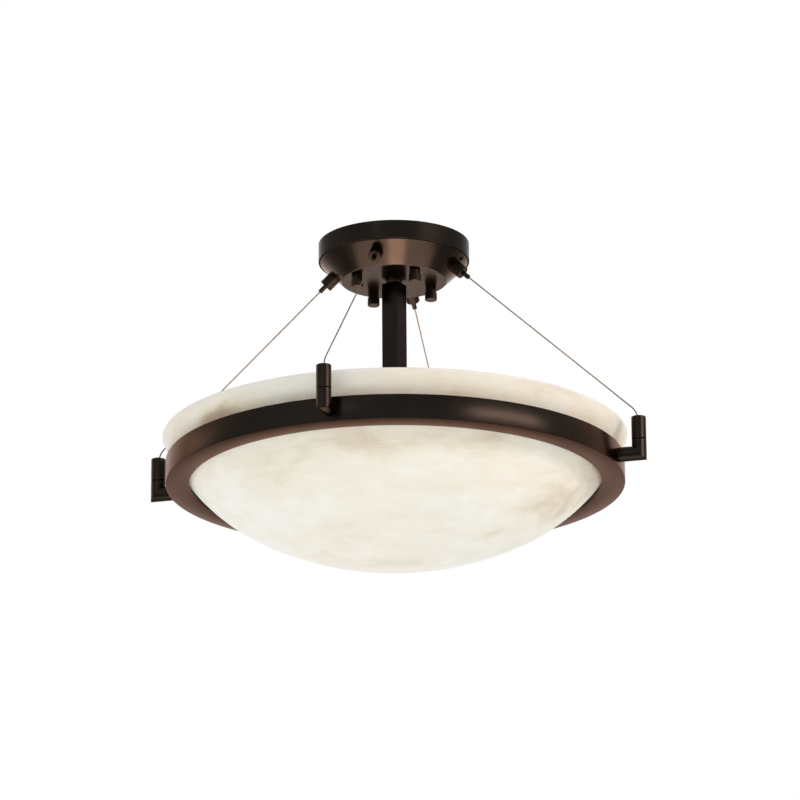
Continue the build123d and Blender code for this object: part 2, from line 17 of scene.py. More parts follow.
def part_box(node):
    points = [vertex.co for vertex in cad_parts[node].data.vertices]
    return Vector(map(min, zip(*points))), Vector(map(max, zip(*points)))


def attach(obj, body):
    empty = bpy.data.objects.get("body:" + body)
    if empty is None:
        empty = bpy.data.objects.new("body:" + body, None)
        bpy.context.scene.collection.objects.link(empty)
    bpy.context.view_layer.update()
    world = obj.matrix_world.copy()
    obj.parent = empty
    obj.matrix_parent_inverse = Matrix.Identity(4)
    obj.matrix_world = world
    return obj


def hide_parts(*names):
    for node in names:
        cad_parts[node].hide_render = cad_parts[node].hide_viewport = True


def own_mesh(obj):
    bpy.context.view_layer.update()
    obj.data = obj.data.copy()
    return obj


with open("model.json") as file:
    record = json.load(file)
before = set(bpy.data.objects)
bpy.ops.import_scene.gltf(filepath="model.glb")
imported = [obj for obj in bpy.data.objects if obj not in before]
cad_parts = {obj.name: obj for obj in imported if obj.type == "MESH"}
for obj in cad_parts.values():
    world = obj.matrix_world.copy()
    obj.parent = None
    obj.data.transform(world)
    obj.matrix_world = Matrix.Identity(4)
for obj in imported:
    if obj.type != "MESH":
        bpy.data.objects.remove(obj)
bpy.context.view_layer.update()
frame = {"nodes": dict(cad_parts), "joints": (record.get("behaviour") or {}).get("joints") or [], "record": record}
scene = bpy.context.scene
nodes = frame["nodes"]

# %% [markdown]
# ## Sizes
#
# The parts' own boxes give nearly every size, so that a new piece stays where the old one was.
# Only what a box can't tell, such as an arc's radius, is written out. Everything is in metres.

# %% Read sizes from the parts
MM = 0.001
TINY = 1e-6                    # shorter than this counts as nothing
SIDES = {"front": -90.0, "right": 0.0, "back": 90.0, "left": 180.0}
CORNERS = {"front_left": -135.0, "front_right": -45.0, "back_right": 45.0, "back_left": 135.0}
LAMPS = {1: 90.0, 2: 210.0, 3: 330.0}


def radius_of(node):
    """Half the width of a part that is round about the light's axis."""
    low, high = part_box(node)
    return (high.x - low.x) / 2


def levels_of(node):
    low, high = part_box(node)
    return low.z, high.z


ring_radius = radius_of("ring_hoop")
ring_bottom, ring_top = levels_of("ring_hoop")
bowl_bottom, bowl_rim = levels_of("bowl")
print(f"ring {2 * ring_radius:.4f} across, bowl {bowl_rim - bowl_bottom:.4f} deep")

# %% [markdown]
# ## Camera
#
# The photograph looks up at the light from about four and a half metres away through a long lens.
# The ring's ellipse, the canopy and the four posts together settle the camera's place and tilt.

# %% Place the camera
CAMERA_DISTANCE = 4.5          # from the ring's centre
CAMERA_DIP = radians(16.368)   # how far below the ring's plane the camera stands, seen from the ring
CAMERA_AZIMUTH = radians(15.593)
CAMERA_ASIDE = 5.17 * MM
CAMERA_PITCH = radians(17.4575)
CAMERA_ROLL = radians(0.400)
FOCAL_PIXELS = 4520.8
FRAME_PIXELS = 800
CAMERA_REACH = 50.0            # nothing in the scene is farther away

camera_data = bpy.data.cameras.new("camera")
camera = bpy.data.objects.new("camera", camera_data)
scene.collection.objects.link(camera)
scene.camera = camera
camera_data.lens = FOCAL_PIXELS / FRAME_PIXELS * camera_data.sensor_width
camera_data.clip_end = CAMERA_REACH
turn = Matrix.Rotation(CAMERA_AZIMUTH, 4, "Z")
stand = Vector((
    CAMERA_ASIDE,
    -CAMERA_DISTANCE * cos(CAMERA_DIP),
    ring_bottom - CAMERA_DISTANCE * sin(CAMERA_DIP),
))
tilt = Matrix.Rotation(pi / 2 + CAMERA_PITCH, 4, "X") @ Matrix.Rotation(-CAMERA_ROLL, 4, "Z")
camera.matrix_world = turn @ Matrix.Translation(stand) @ tilt
print("camera lens", round(camera_data.lens, 1), "mm")

# %% [markdown]
# ## Writing node trees in Python
#
# Shaders and Geometry Nodes are both trees of nodes. One small class adds a node of any type, and
# another wraps a number in the tree, so that a sum such as `1 - mask * 0.5` adds its Math nodes.

# %% A tree and its numbers


class Amount:
    """A number inside a node tree. Python's arithmetic on it adds Math nodes."""

    def __init__(self, tree, socket):
        self.tree = tree
        self.socket = socket

    def math(self, operation, *others):
        values = dict(enumerate((self, *others)))
        made = self.tree.node("ShaderNodeMath", {"operation": operation}, values)
        return Amount(self.tree, made.outputs[0])

    def __add__(self, other):
        return self.math("ADD", other)

    def __mul__(self, other):
        return self.math("MULTIPLY", other)

    def __sub__(self, other):
        return self.math("SUBTRACT", other)

    def __rsub__(self, other):
        return (self * -1) + other

    def __truediv__(self, other):
        return self.math("DIVIDE", other)

    __radd__ = __add__
    __rmul__ = __mul__

    def between(self, low, high):
        """0 below low, 1 above high, and smooth between; low may be the larger one."""
        settings = {"interpolation_type": "SMOOTHSTEP"}
        inputs = {"Value": self, "From Min": low, "From Max": high}
        return Amount(self.tree, self.tree.node("ShaderNodeMapRange", settings, inputs).outputs[0])


class Tree:
    """A node tree that Python fills."""

    def __init__(self, tree):
        self.tree = tree
        self.tree.nodes.clear()

    def node(self, kind, settings=None, inputs=None):
        """Adds one node: its settings first, then its sockets, each by name or number."""
        made = self.tree.nodes.new(kind)
        for name, value in (settings or {}).items():
            setattr(made, name, value)
        for name, value in (inputs or {}).items():
            self.plug(made.inputs[name], value)
        return made

    def plug(self, socket, value):
        if isinstance(value, Amount):
            value = value.socket
        if isinstance(value, bpy.types.NodeSocket):
            self.tree.links.new(value, socket)
        else:
            socket.default_value = value

    def amount(self, kind, output=0, settings=None, inputs=None):
        return Amount(self, self.node(kind, settings, inputs).outputs[output])


print("tree helpers ready")

# %% [markdown]
# ## Finishes
#
# A finish starts from the Principled shader. Its constant qualities are set on the shader's own
# sockets, and only what really changes over the surface is linked: colour, roughness and relief.
# Every pattern reads Object coordinates, which are the light's own metres, so it keeps its scale.

# %% Start a finish


class Finish(Tree):
    """A material with one Principled shader, whose constants are given by name."""

    def __init__(self, name, constants):
        self.material = bpy.data.materials.new(name)
        self.material.use_nodes = True
        super().__init__(self.material.node_tree)
        self.shader = self.node("ShaderNodeBsdfPrincipled", inputs=constants)
        output = self.node("ShaderNodeOutputMaterial")
        self.plug(output.inputs["Surface"], self.shader.outputs[0])
        self.place = self.node("ShaderNodeTexCoord").outputs["Object"]

    def vary(self, socket, value):
        self.plug(self.shader.inputs[socket], value)

    def stretched(self, scale, shift=(0, 0, 0)):
        """The object's coordinates, scaled by a different factor on each axis and shifted."""
        inputs = {"Vector": self.place, "Scale": scale, "Location": shift}
        return self.node("ShaderNodeMapping", inputs=inputs).outputs[0]

    def noise(self, scale, detail=3.0, where=None, roughness=0.5, distortion=0.0):
        inputs = {
            "Vector": where or self.place,
            "Scale": scale,
            "Detail": detail,
            "Roughness": roughness,
            "Distortion": distortion,
        }
        return self.amount("ShaderNodeTexNoise", inputs=inputs)

    def turned(self, where, angle):
        """Coordinates turned about the vertical axis."""
        inputs = {"Vector": where, "Rotation": (0, 0, angle)}
        return self.node("ShaderNodeMapping", inputs=inputs).outputs[0]

    def bent(self, where, scale, amount):
        """Coordinates moved about by a soft noise, up to half an amount each way."""
        inputs = {"Vector": where, "Scale": scale, "Detail": 3.0}
        noise = self.node("ShaderNodeTexNoise", inputs=inputs)
        offset = {0: noise.outputs["Color"], 1: (0.5, 0.5, 0.5)}
        centred = self.node("ShaderNodeVectorMath", {"operation": "SUBTRACT"}, offset)
        moved = {0: centred.outputs[0], 1: (amount, amount, amount), 2: where}
        return self.node("ShaderNodeVectorMath", {"operation": "MULTIPLY_ADD"}, moved).outputs[0]

    def spot(self, where, middle, reach):
        """1 in the middle of a soft spot and 0 outside it; the reach differs on each axis."""
        scale = [1 / length for length in reach]
        shift = [-place / length for place, length in zip(middle, reach)]
        inputs = {"Vector": where, "Scale": scale, "Location": shift}
        fitted = self.node("ShaderNodeMapping", inputs=inputs).outputs[0]
        settings = {"operation": "LENGTH"}
        return self.amount("ShaderNodeVectorMath", "Value", settings, {0: fitted}).between(1.0, 0.0)

    def blend(self, mask, first, second):
        """First colour where the mask is 0, second where it is 1."""
        inputs = {0: mask, 6: first, 7: second}
        return self.node("ShaderNodeMix", {"data_type": "RGBA"}, inputs).outputs[2]

    def relief(self, height, depth, strength=1.0):
        """Small surface relief, in metres."""
        inputs = {"Height": height, "Distance": depth, "Strength": strength}
        self.vary("Normal", self.node("ShaderNodeBump", inputs=inputs).outputs[0])


def colour(red, green, blue):
    """A colour as it looks on screen, 0 to 255 each, turned into linear light."""
    def linear(value):
        share = value / 255
        return share / 12.92 if share <= 0.04045 else ((share + 0.055) / 1.055) ** 2.4

    return (linear(red), linear(green), linear(blue), 1.0)


def shaded(tint, share):
    """A tint made darker or paler by one share."""
    return tuple(share * part for part in tint[:3]) + (1.0,)


print("finish helper ready")

# %% [markdown]
# ### Dark bronze
#
# The metal parts are steel with a dark bronze plating under a satin lacquer. It looks nearly black
# face on and warm brown at a flat angle, as the underside of the ring is seen. The shader's
# specular tint is the colour of that flat-angle mirror. A little noise in colour and roughness
# keeps the plating from looking like plastic. The pieces differ slightly: the ring is brushed round
# its band and the cast grippers and nuts are duller. The spacer above the stem is six times paler,
# painted light that makes up for the shade it stands in under the canopy. The stem and the pan
# share a greyer, weaker flat-angle mirror, painted shade that dims their reflection of the white world.

# %% Make the bronze finish
BRONZE_DARK = (0.0138, 0.0112, 0.0091, 1)
BRONZE_LIGHT = (0.0178, 0.0142, 0.0113, 1)
PATINA_SCALE = 22.0            # the plating's slow changes of colour
PATINA_UNEVENNESS = 0.06       # how far the roughness follows them
GRAIN_SCALE = 900.0            # the lacquer's fine grain
GRAIN_UNEVENNESS = 0.05
GRAIN_DEPTH = 0.012 * MM
BRUSHING = (40, 40, 2500)      # noise that is drawn out into lines round the band
BRUSHING_DEPTH = 0.02 * MM


def bronze_finish(name, mirror_tint, roughness, brushed=None, paler=1.0):
    made = Finish(name, {"Metallic": 1.0, "Specular Tint": mirror_tint})
    patina = made.noise(PATINA_SCALE, detail=4.0)
    grain = made.noise(GRAIN_SCALE, detail=2.0)
    dark = shaded(BRONZE_DARK, paler)
    light = shaded(BRONZE_LIGHT, paler)
    made.vary("Base Color", made.blend(patina.between(0.35, 0.7), dark, light))
    uneven = (patina - 0.5) * PATINA_UNEVENNESS
    made.vary("Roughness", roughness + uneven + (grain - 0.5) * GRAIN_UNEVENNESS)
    if brushed:
        lines = made.noise(1.0, detail=2.0, where=made.stretched(brushed))
        made.relief(lines, BRUSHING_DEPTH)
    else:
        made.relief(grain, GRAIN_DEPTH)
    return made.material


bronze = bronze_finish("dark_bronze", (0.98, 0.80, 0.72, 1), 0.26)
bronze_cast = bronze_finish("dark_bronze_cast", (1.0, 0.86, 0.80, 1), 0.40)
# painted light: a six times paler base makes up for the shade under the canopy
bronze_pale = bronze_finish("worn_bronze", (1.0, 0.86, 0.80, 1), 0.40, paler=6.0)
# painted shade: a greyer, weaker flat-angle mirror dims the stem's and pan's reflection of the white world
bronze_stem = bronze_finish("dark_bronze_stem", (0.62, 0.60, 0.60, 1), 0.22)
bronze_canopy = bronze_finish("dark_bronze_canopy", (1.0, 0.85, 0.77, 1), 0.21)
bronze_band = bronze_finish("dark_bronze_band", (0.94, 0.71, 0.63, 1), 0.26, brushed=BRUSHING)
print("finishes:", len(bpy.data.materials))

# %% [markdown]
# ### Clouded resin
#
# The bowl is cast resin that imitates alabaster: a warm cream body with soft clouds that are pulled
# sideways, as the paste flowed in the mould. Streaked noise makes the wisps. Where they gather is
# chosen: soft spots, bent by noise so that none is round, are added to the noise before the sum is
# cut, so that the wisps decide a cloud's edge. The two spots on the bowl's right side are partly
# cloud and partly painted shade, which darkens that side. Subsurface scattering lets light a little
# way in.

# %% Make the resin finish
CLOUDS_AND_SHADE = [                     # middle, then reach sideways, in depth and in height, in mm; strength
    ((20, -188, -257), (220, 60, 28), 0.50),
    ((-52, -187, -260), (64, 60, 24), 0.40),
    ((-14, -180, -268), (54, 50, 14), 0.25),
    ((-122, -128, -276), (80, 64, 28), 0.60),
    ((84, -176, -260), (64, 60, 20), 0.50),
    ((49, -134, -298), (44, 44, 14), 0.50),
    # these two spots darken the bowl's right side: partly cloud, partly painted shade
    ((190, -44, -258), (100, 120, 70), 1.45),
    ((143, -35, -295), (64, 76, 24), 1.20),
    ((83, -43, -317), (28, 26, 12), 0.80),
    ((1, 5, -332), (50, 34, 14), 0.80),
    # the strongest spot darkens the rim just above the ring at the front left
    ((-172, -136, -221), (66, 70, 20), 2.20),
    ((60, -215, -210), (80, 50, 18), 0.50),
    ((150, -150, -210), (110, 110, 24), 0.90),
]
CLOUD_HEADING = radians(-15)   # the clouds' own front, turned from the light's front
CLOUD_BEND_SCALE = 12.0
CLOUD_BEND = 60 * MM
CLOUD_CUT = (1.03, 1.9)        # sum of wisps and spots at which tan starts, and at which it is full
MILK_CUT = (0.56, 0.36)        # the same for the whiter resin between the clouds
WIDE_WISPS = (6.5, 6.5, 18)    # noise per metre, denser in height because the paste flowed sideways
WIDE_SHIFT = (0.31, 0.12, 0.4)
NARROW_WISPS = (26, 26, 85)
NARROW_SHIFT = (1.7, 0.4, 0.2)
CREAM = colour(243, 233, 217)
CREAM_TAN = colour(196, 186, 170)
CREAM_WHITE = colour(252, 245, 231)
RESIN_RELIEF = 0.15 * MM


def resin_finish():
    made = Finish("clouded_resin", {
        "Roughness": 0.45,
        "IOR": 1.49,
        "Specular IOR Level": 0.25,
        "Subsurface Weight": 1.0,
        "Subsurface Radius": (1.0, 0.85, 0.7),
        "Subsurface Scale": 0.02,
    })
    wide = made.stretched(WIDE_WISPS, WIDE_SHIFT)
    large = made.noise(1.0, detail=5.0, where=wide, distortion=0.6)
    narrow = made.stretched(NARROW_WISPS, NARROW_SHIFT)
    fine = made.noise(1.0, detail=6.0, where=narrow, roughness=0.58, distortion=0.5)
    wisps = large * 0.55 + fine * 0.45
    bent = made.bent(made.turned(made.place, CLOUD_HEADING), CLOUD_BEND_SCALE, CLOUD_BEND)
    gathered = 0.0
    for middle, reach, strength in CLOUDS_AND_SHADE:
        middle = [length * MM for length in middle]
        reach = [length * MM for length in reach]
        gathered = made.spot(bent, middle, reach) * strength + gathered
    mask = (gathered * 0.45 + wisps * 2.0).between(*CLOUD_CUT)
    milk = (wisps + gathered * 0.3).between(*MILK_CUT)
    made.vary("Base Color", made.blend(mask, made.blend(milk, CREAM, CREAM_WHITE), CREAM_TAN))
    made.relief(fine, RESIN_RELIEF, 0.5)
    return made.material


resin = resin_finish()
print("finish:", resin.name)

# %% [markdown]
# ### Small metals, rubber, plastic and glass
#
# The cables, springs, screws, wires, lamps and sockets show only as small areas, where a detailed
# finish would be wasted. Each has one tint that a fine grain darkens a little, uneven gloss and a
# very shallow relief. One function makes every metal, and another every plastic and rubber.

# %% Make the other finishes
DULL_SHARE = 0.8               # how dark the dull grains of a metal are
METAL_DEPTH = 0.01 * MM
SHADE_SHARE = 0.85             # the same for plastic and rubber
MOULDED_DEPTH = 0.03 * MM
FROST_SCALE = 1400.0
FROST_PALE = colour(246, 244, 238)
FROST_DIM = colour(238, 236, 230)


def plain_metal(name, tint, roughness, grain_scale):
    """A bare or plated metal with fine grain."""
    made = Finish(name, {"Metallic": 1.0})
    grain = made.noise(grain_scale, detail=3.0)
    dull = shaded(tint, DULL_SHARE)
    made.vary("Base Color", made.blend(grain.between(0.3, 0.8), tint, dull))
    made.vary("Roughness", roughness + (grain - 0.5) * 0.15)
    made.relief(grain, METAL_DEPTH)
    return made.material


def moulded(name, tint, roughness, grain_scale):
    """A moulded plastic or rubber with a slightly uneven skin."""
    made = Finish(name, {"IOR": 1.5})
    grain = made.noise(grain_scale, detail=4.0)
    shade = shaded(tint, SHADE_SHARE)
    made.vary("Base Color", made.blend(grain.between(0.3, 0.7), tint, shade))
    made.vary("Roughness", roughness + (grain - 0.5) * 0.2)
    made.relief(grain, MOULDED_DEPTH)
    return made.material


def frosted_glass():
    made = Finish("frosted_glass", {"IOR": 1.5, "Subsurface Weight": 0.2, "Subsurface Scale": 3 * MM})
    frost = made.noise(FROST_SCALE, detail=2.0)
    made.vary("Base Color", made.blend(frost.between(0.3, 0.7), FROST_PALE, FROST_DIM))
    made.vary("Roughness", 0.35 + frost * 0.15)
    made.relief(frost, METAL_DEPTH)
    return made.material


cable_steel = plain_metal("cable_steel", (0.15, 0.125, 0.095, 1), 0.30, 2200.0)
spring_steel = plain_metal("spring_steel", (0.55, 0.55, 0.55, 1), 0.25, 1800.0)
plated_steel = plain_metal("plated_steel", (0.66, 0.64, 0.58, 1), 0.32, 900.0)
brass = plain_metal("brass", (0.80, 0.58, 0.25, 1), 0.30, 900.0)
cap_metal = plain_metal("lamp_cap_metal", (0.78, 0.77, 0.75, 1), 0.28, 900.0)
wire_cover = moulded("wire_cover", colour(232, 229, 220), 0.5, 600.0)
gasket_rubber = moulded("gasket_rubber", colour(34, 33, 32), 0.75, 900.0)
phenolic = moulded("phenolic", colour(28, 26, 25), 0.38, 700.0)
glass = frosted_glass()
print("finishes:", len(bpy.data.materials))

# %% [markdown]
# ### Which part wears what
#
# Each part of the frame names a material slot. One table gives every slot its finish, and a second
# one lists the few parts whose plating looks different. The material is put on the mesh itself.

# %% Dress the parts of the frame
FINISH_OF_SLOT = {
    "dark_bronze": bronze,
    "steel_cable": cable_steel,
    "spring_steel": spring_steel,
    "plated_steel": plated_steel,
    "brass_fitting": brass,
    "wire_insulation": wire_cover,
    "clouded_resin": resin,
    "gasket_rubber": gasket_rubber,
    "socket_black": phenolic,
    "lamp_cap_metal": cap_metal,
    "lamp_glass": glass,
}
FINISH_OF_NODE = {
    "ceiling_pan": bronze_stem,
    "canopy_dome": bronze_canopy,
    "stem_spacer": bronze_pale,
    "stem_tube": bronze_stem,
}
FINISH_OF_NODE.update({f"cap_nut_{corner}": bronze_cast for corner in CORNERS})
FINISH_OF_NODE.update({f"gripper_body_{side}": bronze_cast for side in SIDES})
slot_of_node = {entry["node"]: entry["material_slot"] for entry in frame["record"]["subparts"]}
for name, part in nodes.items():
    part.data.materials.clear()
    part.data.materials.append(FINISH_OF_NODE.get(name, FINISH_OF_SLOT[slot_of_node[name]]))
print("dressed", len(nodes), "parts")

# %% [markdown]
# ## Turned surfaces
#
# The bowl, the lamps and their sockets are bodies of revolution. A section is a list of points,
# radius and level, with its arcs stepped finely. Turning it about the vertical axis gives a smooth
# closed mesh.

# %% Turn a section
MERGE_DISTANCE = 1e-7
SHARP_EDGE = radians(32)


def arc(centre, radius, start, end, steps):
    """Points on an arc in a section, from one angle to another, in degrees."""
    points = []
    for step in range(steps + 1):
        angle = radians(start + (end - start) * step / steps)
        points.append((centre[0] + radius * cos(angle), centre[1] + radius * sin(angle)))
    return points


def mesh_object(name, vertices, faces, finish):
    """A new object with outward faces and smooth shading, broken only at sharp edges."""
    mesh = bpy.data.meshes.new(name)
    mesh.from_pydata(vertices, [], faces)
    made = bpy.data.objects.new(name, mesh)
    scene.collection.objects.link(made)
    tidy(made, finish)
    return made


def tidy(made, finish):
    """Merges doubles, points the faces outwards and marks the edges that stay sharp."""
    shape = bmesh.new()
    shape.from_mesh(made.data)
    bmesh.ops.remove_doubles(shape, verts=shape.verts, dist=MERGE_DISTANCE)
    bmesh.ops.recalc_face_normals(shape, faces=shape.faces)
    for edge in shape.edges:
        edge.smooth = len(edge.link_faces) != 2 or edge.calc_face_angle(0.0) < SHARP_EDGE
    for face in shape.faces:
        face.smooth = True
    shape.to_mesh(made.data)
    shape.free()
    made.data.materials.clear()
    made.data.materials.append(finish)


def turned(name, section, turns, finish):
    """Turns a closed section about the vertical axis; points on the axis become poles."""
    vertices = []
    rings = []
    for radius, level in section:
        if radius < TINY:
            rings.append([len(vertices)] * turns)
            vertices.append((0, 0, level))
        else:
            rings.append([len(vertices) + step for step in range(turns)])
            vertices += [
                (radius * cos(2 * pi * step / turns), radius * sin(2 * pi * step / turns), level)
                for step in range(turns)
            ]
    faces = []
    for ring, following in zip(rings, rings[1:] + rings[:1]):
        for step in range(turns):
            after = (step + 1) % turns
            corners = [ring[step], ring[after], following[after], following[step]]
            corners = list(dict.fromkeys(corners))
            if len(corners) > 2:
                faces.append(corners)
    return mesh_object(name, vertices, faces, finish)


print("turning helper ready")

# %% [markdown]
# ### The bowl
#
# Its outside is a shallow arc that flows into a tighter one, as a slumped or cast bowl has. The
# wall is the same thickness all over, and the rim is flat with rounded edges.

# %% Make the bowl
BOWL_CAP_RADIUS = 314 * MM
BOWL_CAP_TURN = 28.0
BOWL_SHOULDER_RADIUS = 190 * MM
BOWL_WALL = 6 * MM
BOWL_RIM_ROUND = 1.5 * MM
BOWL_TURNS = 256
BOWL_CAP_STEPS = 30
BOWL_SHOULDER_STEPS = 44
BOWL_RIM_STEPS = 6


def bowl_side(inset):
    """The outer or inner curve from the axis up to the rim, and the curve's end angle."""
    cap_centre = (0.0, bowl_bottom + BOWL_CAP_RADIUS)
    drop = BOWL_CAP_RADIUS - BOWL_SHOULDER_RADIUS
    turn_angle = radians(BOWL_CAP_TURN)
    shoulder_centre = (drop * sin(turn_angle), cap_centre[1] - drop * cos(turn_angle))
    radius = BOWL_SHOULDER_RADIUS - inset
    rim = bowl_rim - BOWL_RIM_ROUND
    end = degrees(acos((shoulder_centre[1] - rim) / radius))
    cap = arc(cap_centre, BOWL_CAP_RADIUS - inset, -90, -90 + BOWL_CAP_TURN, BOWL_CAP_STEPS)
    shoulder_start = -90 + BOWL_CAP_TURN
    shoulder = arc(shoulder_centre, radius, shoulder_start, -90 + end, BOWL_SHOULDER_STEPS)
    return [(0.0, cap[0][1])] + cap[1:] + shoulder[1:], end


def make_bowl():
    outer, outer_end = bowl_side(0)
    inner, _ = bowl_side(BOWL_WALL)
    outer_rim = (outer[-1][0] - BOWL_RIM_ROUND * cos(radians(90 - outer_end)), outer[-1][1])
    rim = arc(outer_rim, BOWL_RIM_ROUND, -90 + outer_end, 90, BOWL_RIM_STEPS)
    inner_rim = (inner[-1][0] + BOWL_RIM_ROUND, inner[-1][1])
    rim += arc(inner_rim, BOWL_RIM_ROUND, 90, 180, BOWL_RIM_STEPS)
    made = turned("bowl_cast", outer[:-1] + rim + inner[-2::-1], BOWL_TURNS, resin)
    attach(made, "bowl")
    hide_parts("bowl")
    return made


bowl = make_bowl()
print("bowl:", len(bowl.data.polygons), "faces")

# %% [markdown]
# ## Geometry Nodes
#
# What follows a path or repeats is made by Geometry Nodes: the ring, the strands of the cables and
# the threads of the lamps. A tree is built with named inputs, run on a small base mesh, and its
# result is turned into a plain mesh, so that nothing is left for the exporter to work out.

# %% Build and run a tree


class Growth(Tree):
    """A Geometry Nodes tree with named inputs."""

    def __init__(self, name, inputs):
        super().__init__(bpy.data.node_groups.new(name, "GeometryNodeTree"))
        kinds = {float: "NodeSocketFloat", int: "NodeSocketInt"}
        self.tree.interface.new_socket("Geometry", in_out="INPUT", socket_type="NodeSocketGeometry")
        for label, kind in inputs.items():
            self.tree.interface.new_socket(label, in_out="INPUT", socket_type=kinds[kind])
        material = "NodeSocketMaterial"
        self.tree.interface.new_socket("Finish", in_out="INPUT", socket_type=material)
        self.tree.interface.new_socket("Geometry", in_out="OUTPUT", socket_type="NodeSocketGeometry")
        self.start = self.node("NodeGroupInput")

    def given(self, label):
        return Amount(self, self.start.outputs[label])

    def close(self, geometry):
        """Ends the tree: real geometry, smooth, with its finish."""
        real = self.node("GeometryNodeRealizeInstances", inputs={"Geometry": geometry})
        smooth = self.node("GeometryNodeSetShadeSmooth", inputs={"Geometry": real.outputs[0]})
        inputs = {"Geometry": smooth.outputs[0], "Material": self.start.outputs["Finish"]}
        finished = self.node("GeometryNodeSetMaterial", inputs=inputs)
        self.node("NodeGroupOutput", inputs={"Geometry": finished.outputs[0]})
        return self.tree


def outline_mesh(name, points, edges):
    mesh = bpy.data.meshes.new(name)
    mesh.from_pydata(points, edges, [])
    return mesh


def grow(name, tree, values, finish, base):
    """Runs a tree on a base mesh and returns its result as a plain mesh object."""
    holder = bpy.data.objects.new(name + "_base", base)
    scene.collection.objects.link(holder)
    modifier = holder.modifiers.new("growth", "NODES")
    modifier.node_group = tree
    for item in tree.interface.items_tree:
        if item.item_type == "SOCKET" and item.in_out == "INPUT" and item.name in values:
            modifier[item.identifier] = values[item.name]
        elif item.name == "Finish":
            modifier[item.identifier] = finish
    bpy.context.view_layer.update()
    evaluated = holder.evaluated_get(bpy.context.evaluated_depsgraph_get())
    mesh = bpy.data.meshes.new_from_object(evaluated)
    bpy.data.objects.remove(holder)
    bpy.data.meshes.remove(base)
    made = bpy.data.objects.new(name, mesh)
    scene.collection.objects.link(made)
    tidy(made, finish)
    return made


print("growth helper ready")

# %% [markdown]
# ### The ring
#
# The real ring is a strip rolled to a hoop with a flat flange, an L in section. Its shape follows a
# simple rule, one section carried round a circle, so it is a good first tree: the section's corners
# are rounded by Fillet Curve, and Curve to Mesh carries it round.

# %% Grow the ring
RING_THICKNESS = 3 * MM
FLANGE_INNER_RADIUS = 205.2 * MM
RING_EDGE = 0.45 * MM
RING_EDGE_STEPS = 3
RING_STEPS = 360


def hoop_tree():
    tree = Growth("hoop", {"Radius": float, "Edge": float, "Steps": int, "Edge steps": int})
    outline = tree.node("GeometryNodeMeshToCurve", inputs={"Mesh": tree.start.outputs["Geometry"]})
    corners = {
        "Curve": outline.outputs[0],
        "Radius": tree.given("Edge"),
        "Count": tree.given("Edge steps"),
    }
    section = tree.node("GeometryNodeFilletCurve", {"mode": "POLY"}, corners)
    circle = {"Resolution": tree.given("Steps"), "Radius": tree.given("Radius")}
    path = tree.node("GeometryNodeCurvePrimitiveCircle", inputs=circle)
    upright = tree.node("GeometryNodeSetCurveNormal", {"mode": "Z_UP"}, {"Curve": path.outputs[0]})
    sweep = {"Curve": upright.outputs[0], "Profile Curve": section.outputs[0]}
    return tree.close(tree.node("GeometryNodeCurveToMesh", inputs=sweep).outputs[0])


def make_ring():
    inner = FLANGE_INNER_RADIUS - ring_radius
    wall = -RING_THICKNESS
    shelf = ring_bottom + RING_THICKNESS
    section = [
        (0, ring_bottom),
        (0, ring_top),
        (wall, ring_top),
        (wall, shelf),
        (inner, shelf),
        (inner, ring_bottom),
    ]
    points = [(out, -level, 0) for out, level in section]
    edges = [(step, (step + 1) % len(points)) for step in range(len(points))]
    values = {
        "Radius": ring_radius,
        "Edge": RING_EDGE,
        "Steps": RING_STEPS,
        "Edge steps": RING_EDGE_STEPS,
    }
    base = outline_mesh("ring_section", points, edges)
    made = grow("ring_rolled", hoop_tree(), values, bronze_band, base)
    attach(made, "frame")
    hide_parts("ring_hoop")
    return made


ring = make_ring()
print("ring:", len(ring.data.polygons), "faces", [round(v, 4) for v in ring.dimensions])

# %% [markdown]
# ### The cables
#
# Each cable is a wire rope: six strands laid round a core. The route is the part's own: straight
# from the gripper, then one bend down into the post. The tree rounds that corner, twists a bundle
# of small circles along it, and gives the six outer strands and the core.

# %% Grow the cables
CABLE_RADIUS = 0.7 * MM
CABLE_LAY = 9 * MM             # length of one full turn of a strand
CABLE_STRANDS = 6
STRAND_SIDES = 7
STRAND_OVERLAP = 1.02          # strands press into each other a little
CABLE_STEP = 0.75 * MM
CABLE_BEND = 22.0 * MM
CABLE_BEND_STEPS = 16
CABLE_SLOPE = 42.679           # degrees below the horizontal
CABLE_CORNER_RISE = 4.5 * MM   # the corner of the route above the post's top


